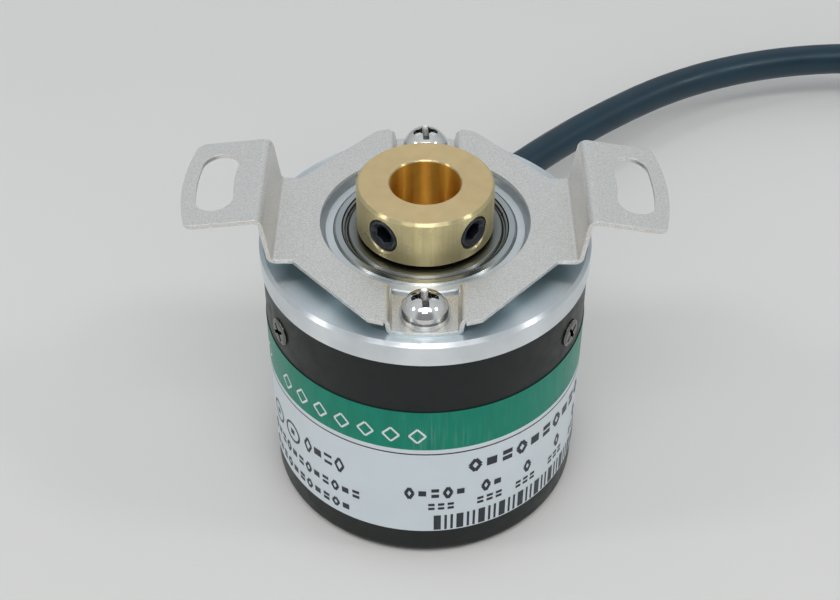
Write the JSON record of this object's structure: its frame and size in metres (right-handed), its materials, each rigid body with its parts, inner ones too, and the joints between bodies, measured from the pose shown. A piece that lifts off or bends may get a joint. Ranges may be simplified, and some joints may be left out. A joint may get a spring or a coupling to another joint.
{
  "type": "rotary encoder",
  "caption": "Hollow-shaft incremental rotary encoder with a brass clamping collar, slotted leaf-spring stator coupling, round body and side cable.",
  "frame": {"origin": "on the shaft axis, in the plane of the aluminium flange's front face", "axes": "+Z out of the hollow shaft's mouth; the two spring tabs lie along X; the cable leaves the back of the body near +Y"},
  "size_m": [0.137, 0.1037, 0.0423],
  "materials": {
    "turned_aluminium": "fine turned, bright",
    "black_cover": "matt moulded black",
    "label_film": "printed film, satin",
    "spring_steel": "satin rolled stainless sheet",
    "nickel_screw": "bright nickel plate",
    "zinc_washer": "plated spring steel",
    "black_screw": "black oxide",
    "bearing_steel": "ground chrome steel",
    "shield_steel": "pressed bright sheet",
    "ball_steel": "polished",
    "cage_nylon": "glass-filled nylon",
    "spring_black": "dark phosphated spring steel",
    "holder_plastic": "moulded black",
    "led_lens": "clear tinted epoxy",
    "tinned_wire": "tinned copper",
    "board_green": "solder mask over glass epoxy",
    "standoff_brass": "turned",
    "steel_screw": "zinc plate",
    "chip_epoxy": "moulded epoxy with tinned leads",
    "mask_glass": "thin glass with dark grating",
    "can_aluminium": "drawn can with black base",
    "ceramic_tan": "ceramic with tinned ends",
    "resistor_black": "ceramic with tinned ends",
    "connector_ivory": "moulded nylon",
    "plug_white": "moulded nylon",
    "grommet_rubber": "soft black rubber",
    "clamp_nylon": "nylon",
    "cable_pvc": "dark navy PVC",
    "braid": "woven tinned copper",
    "pvc_red": "PVC",
    "pvc_black": "PVC",
    "pvc_green": "PVC",
    "pvc_white": "PVC",
    "turned_brass": "fine turned",
    "hub_aluminium": "turned",
    "disc_glass": "clear glass with a fine dark line track",
    "socket_black": "black oxide"
  },
  "bodies": {
    "stator": {"flange": "turned_aluminium", "housing": "black_cover", "label": "label_film", "spring_plate": "spring_steel", "plate_screws": "nickel_screw", "plate_lock_washers": "zinc_washer", "cover_screws": "black_screw", "front_outer_ring": "bearing_steel", "front_shields": "shield_steel", "rear_outer_ring": "bearing_steel", "rear_shields": "shield_steel", "preload_washer": "spring_black", "bearing_retaining_ring": "spring_black", "led_holder": "holder_plastic", "led_emitter": "led_lens", "led_leads": "tinned_wire", "circuit_board": "board_green", "board_standoffs": "standoff_brass", "board_screws": "steel_screw", "sensor_ic": "chip_epoxy", "mask_plate": "mask_glass", "driver_ic": "chip_epoxy", "regulator": "chip_epoxy", "filter_capacitor": "can_aluminium", "board_capacitors": "ceramic_tan", "board_resistors": "resistor_black", "header": "connector_ivory", "plug": "plug_white", "cable_grommet": "grommet_rubber", "cable_clamp": "clamp_nylon", "cable_jacket": "cable_pvc", "cable_shield": "braid", "wire_red": "pvc_red", "wire_black": "pvc_black", "wire_green": "pvc_green", "wire_white": "pvc_white", "drain_wire": "tinned_wire", "wire_tips": "tinned_wire"},
    "rotor": {"hollow_shaft": "turned_brass", "front_inner_ring": "bearing_steel", "rear_inner_ring": "bearing_steel", "inner_spacer": "hub_aluminium", "disc_hub": "hub_aluminium", "code_disc": "disc_glass", "disc_pressure_ring": "hub_aluminium", "shaft_retaining_ring": "spring_black"},
    "left_set_screw": {"set_screw_left": "socket_black"},
    "right_set_screw": {"set_screw_right": "socket_black"},
    "front_ball_set": {"front_balls": "ball_steel", "front_cage": "cage_nylon"},
    "rear_ball_set": {"rear_balls": "ball_steel", "rear_cage": "cage_nylon"}
  },
  "joints": [
    {"name": "shaft_spin", "type": "hinge", "parent": "stator", "child": "rotor", "pos_m": [0, 0, 0], "axis": [0, 0, 1], "continuous": true},
    {"name": "front_cage_spin", "type": "hinge", "parent": "stator", "child": "front_ball_set", "pos_m": [0, 0, -0.0015], "axis": [0, 0, 1], "continuous": true},
    {"name": "rear_cage_spin", "type": "hinge", "parent": "stator", "child": "rear_ball_set", "pos_m": [0, 0, -0.0085], "axis": [0, 0, 1], "continuous": true},
    {"name": "left_set_screw_slide", "type": "slide", "parent": "rotor", "child": "left_set_screw", "axis": [0.6157, 0.788, 0], "range_m": [-0.0034, 0.0011]},
    {"name": "right_set_screw_slide", "type": "slide", "parent": "rotor", "child": "right_set_screw", "axis": [-0.7071, 0.7071, 0], "range_m": [-0.0034, 0.0011]}
  ],
  "couplings": [
    {"joint": "front_cage_spin", "follows": "shaft_spin", "ratio": 0.42788},
    {"joint": "rear_cage_spin", "follows": "shaft_spin", "ratio": 0.42788}
  ]
}
